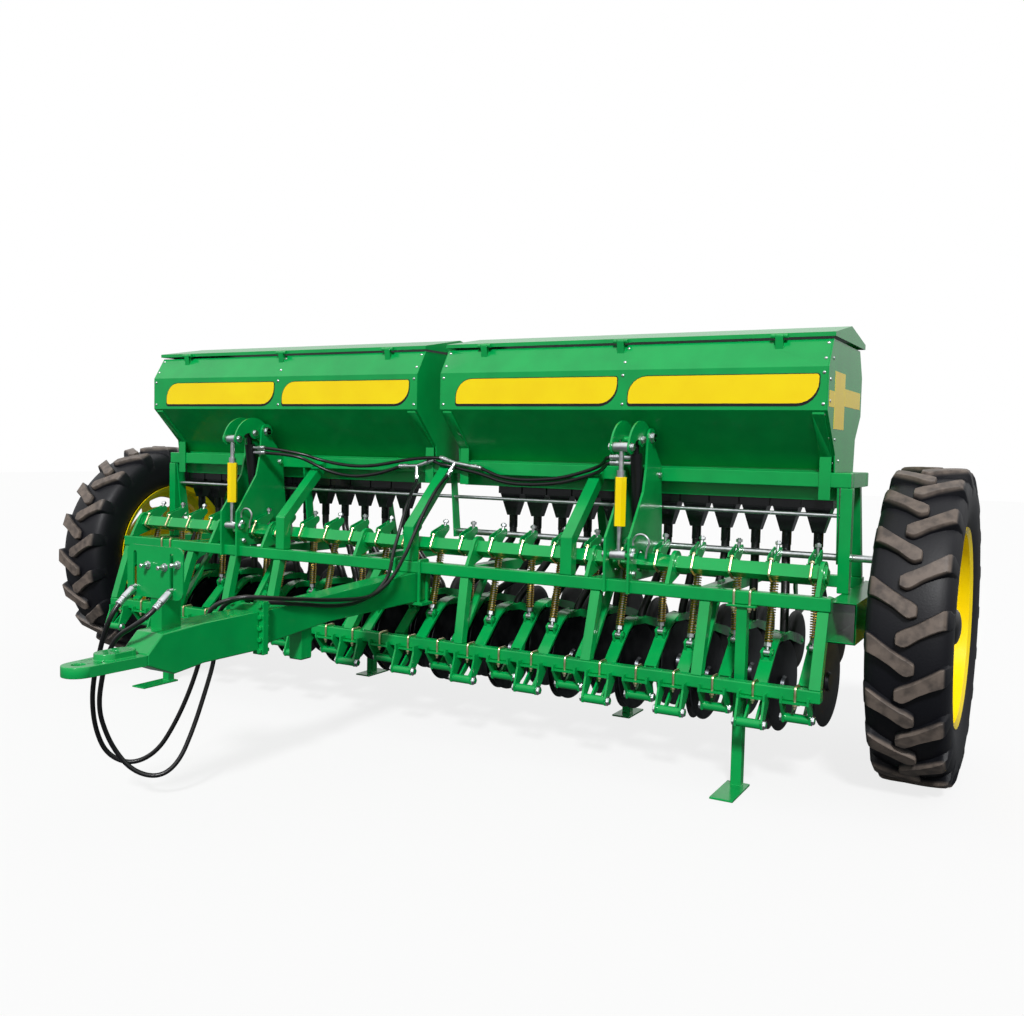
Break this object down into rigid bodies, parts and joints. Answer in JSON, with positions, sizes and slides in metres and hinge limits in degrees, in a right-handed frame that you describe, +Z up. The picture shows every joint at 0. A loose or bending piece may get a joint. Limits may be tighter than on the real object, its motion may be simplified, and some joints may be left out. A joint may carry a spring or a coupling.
{
  "type": "seed drill",
  "caption": "Trailed mechanical seed drill with two hoppers, rows of spring-loaded disc openers on a lift shaft, press wheels, drawbar hitch and two transport wheels.",
  "frame": {"origin": "on the ground under the middle of the machine's bounding box", "axes": "+X across the machine, +Y to the rear, so it travels towards -Y with its hitch leading, +Z up"},
  "size_m": [4.442, 2.83, 1.748],
  "materials": {
    "green_paint": "gloss",
    "yellow_paint": "gloss",
    "black_paint": "satin",
    "zinc_plate": "satin",
    "yellow_zinc": "satin",
    "disc_steel": "satin",
    "chrome_rod": "polished",
    "tyre_rubber": "matte",
    "wheel_rubber": "matte",
    "hose_rubber": "satin",
    "funnel_plastic": "satin"
  },
  "bodies": {
    "frame": {"axle_stubs": "green_paint", "bell_cranks": "green_paint", "cross_members": "green_paint", "drawbar_front": "green_paint", "drawbar_plates": "green_paint", "drawbar_rear": "green_paint", "drive_chain": "disc_steel", "footboard": "green_paint", "footboard_brackets": "green_paint", "frame_braces": "green_paint", "frame_struts": "green_paint", "frame_u_bolts": "yellow_zinc", "free_hoses": "hose_rubber", "front_lower_bar": "green_paint", "front_upper_bar": "green_paint", "hitch": "green_paint", "hopper_ends": "green_paint", "hopper_fronts": "green_paint", "hopper_posts": "green_paint", "hopper_rails": "green_paint", "hopper_rears": "green_paint", "hopper_straps": "green_paint", "hose_fittings": "zinc_plate", "hose_holder": "green_paint", "lift_towers": "green_paint", "meter_shafts": "zinc_plate", "opener_brackets": "green_paint", "rail_ties": "green_paint", "rear_beam": "green_paint", "seed_meters": "funnel_plastic", "seed_tubes": "hose_rubber", "shaft_bearings": "green_paint", "shaft_hangers": "green_paint", "side_beams": "green_paint", "stand_legs": "green_paint", "turnbuckle_barrels": "yellow_paint", "turnbuckle_rods": "zinc_plate"},
    "lift_shaft": {"lift_shaft": "green_paint", "lift_forks": "green_paint", "shaft_u_bolts": "yellow_zinc"},
    "openers_front": {"opener_arms_front": "green_paint", "disc_openers_front": "disc_steel", "press_wheels_front": "wheel_rubber"},
    "openers_rear": {"opener_arms_rear": "green_paint", "disc_openers_rear": "disc_steel", "press_wheels_rear": "wheel_rubber"},
    "rods_front": {"spring_rods_front": "zinc_plate"},
    "rods_rear": {"spring_rods_rear": "zinc_plate"},
    "barrel_left": {"cylinder_barrel_left": "black_paint"},
    "barrel_right": {"cylinder_barrel_right": "black_paint"},
    "piston_left": {"cylinder_rod_left": "chrome_rod"},
    "piston_right": {"cylinder_rod_right": "chrome_rod"},
    "lid_left": {"lid_left": "green_paint"},
    "lid_right": {"lid_right": "green_paint"},
    "wheel_left": {"tyre_left": "tyre_rubber", "rim_left": "yellow_paint", "wheel_hub_left": "black_paint"},
    "wheel_right": {"tyre_right": "tyre_rubber", "rim_right": "yellow_paint", "wheel_hub_right": "black_paint"}
  },
  "joints": [
    {"name": "lift", "type": "hinge", "parent": "frame", "child": "lift_shaft", "pos_m": [0, 0.42, 0.805], "axis": [-1, 0, 0], "range_deg": [0, 75]},
    {"name": "openers_front_swing", "type": "hinge", "parent": "frame", "child": "openers_front", "pos_m": [0, 0.19, 0.284], "axis": [-1, 0, 0], "range_deg": [0, 28.6], "deforming": ["seed_tubes"]},
    {"name": "openers_rear_swing", "type": "hinge", "parent": "frame", "child": "openers_rear", "pos_m": [0, 0.27, 0.304], "axis": [-1, 0, 0], "range_deg": [0, 28.6], "deforming": ["seed_tubes"]},
    {"name": "rods_front_tilt", "type": "hinge", "parent": "openers_front", "child": "rods_front", "pos_m": [0, 0.402, 0.502], "axis": [1, 0, 0], "range_deg": [0, 36.8]},
    {"name": "rods_rear_tilt", "type": "hinge", "parent": "openers_rear", "child": "rods_rear", "pos_m": [0, 0.482, 0.522], "axis": [1, 0, 0], "range_deg": [0, 37.7]},
    {"name": "barrel_left_tilt", "type": "hinge", "parent": "frame", "child": "barrel_left", "pos_m": [0, 0.435, 1.285], "axis": [-1, 0, 0], "range_deg": [0, 1.05]},
    {"name": "piston_left_slide", "type": "slide", "parent": "barrel_left", "child": "piston_left", "axis": [0, 0.1461, -0.9893], "range_m": [0, 0.119]},
    {"name": "barrel_right_tilt", "type": "hinge", "parent": "frame", "child": "barrel_right", "pos_m": [0, 0.435, 1.285], "axis": [-1, 0, 0], "range_deg": [0, 1.05]},
    {"name": "piston_right_slide", "type": "slide", "parent": "barrel_right", "child": "piston_right", "axis": [0, 0.1461, -0.9893], "range_m": [0, 0.119]},
    {"name": "lid_left_hinge", "type": "hinge", "parent": "frame", "child": "lid_left", "pos_m": [0, 0.503, 1.684], "axis": [1, 0, 0], "range_deg": [0, 100]},
    {"name": "lid_right_hinge", "type": "hinge", "parent": "frame", "child": "lid_right", "pos_m": [0, 0.503, 1.684], "axis": [1, 0, 0], "range_deg": [0, 100]},
    {"name": "wheel_left_spin", "type": "hinge", "parent": "frame", "child": "wheel_left", "pos_m": [-2.079, 0.812, 0.603], "axis": [1, 0, 0], "continuous": true},
    {"name": "wheel_right_spin", "type": "hinge", "parent": "frame", "child": "wheel_right", "pos_m": [2.079, 0.812, 0.603], "axis": [1, 0, 0], "continuous": true}
  ],
  "couplings": [
    {"joint": "openers_front_swing", "follows": "lift", "ratio": 0.38},
    {"joint": "openers_rear_swing", "follows": "lift", "ratio": 0.38},
    {"joint": "rods_front_tilt", "follows": "lift", "ratio": 0.4887},
    {"joint": "rods_rear_tilt", "follows": "lift", "ratio": 0.5003},
    {"joint": "barrel_left_tilt", "follows": "lift", "ratio": 0.0133},
    {"joint": "piston_left_slide", "follows": "lift", "m_per_rad": 0.09055},
    {"joint": "barrel_right_tilt", "follows": "lift", "ratio": 0.0133},
    {"joint": "piston_right_slide", "follows": "lift", "m_per_rad": 0.09055}
  ]
}
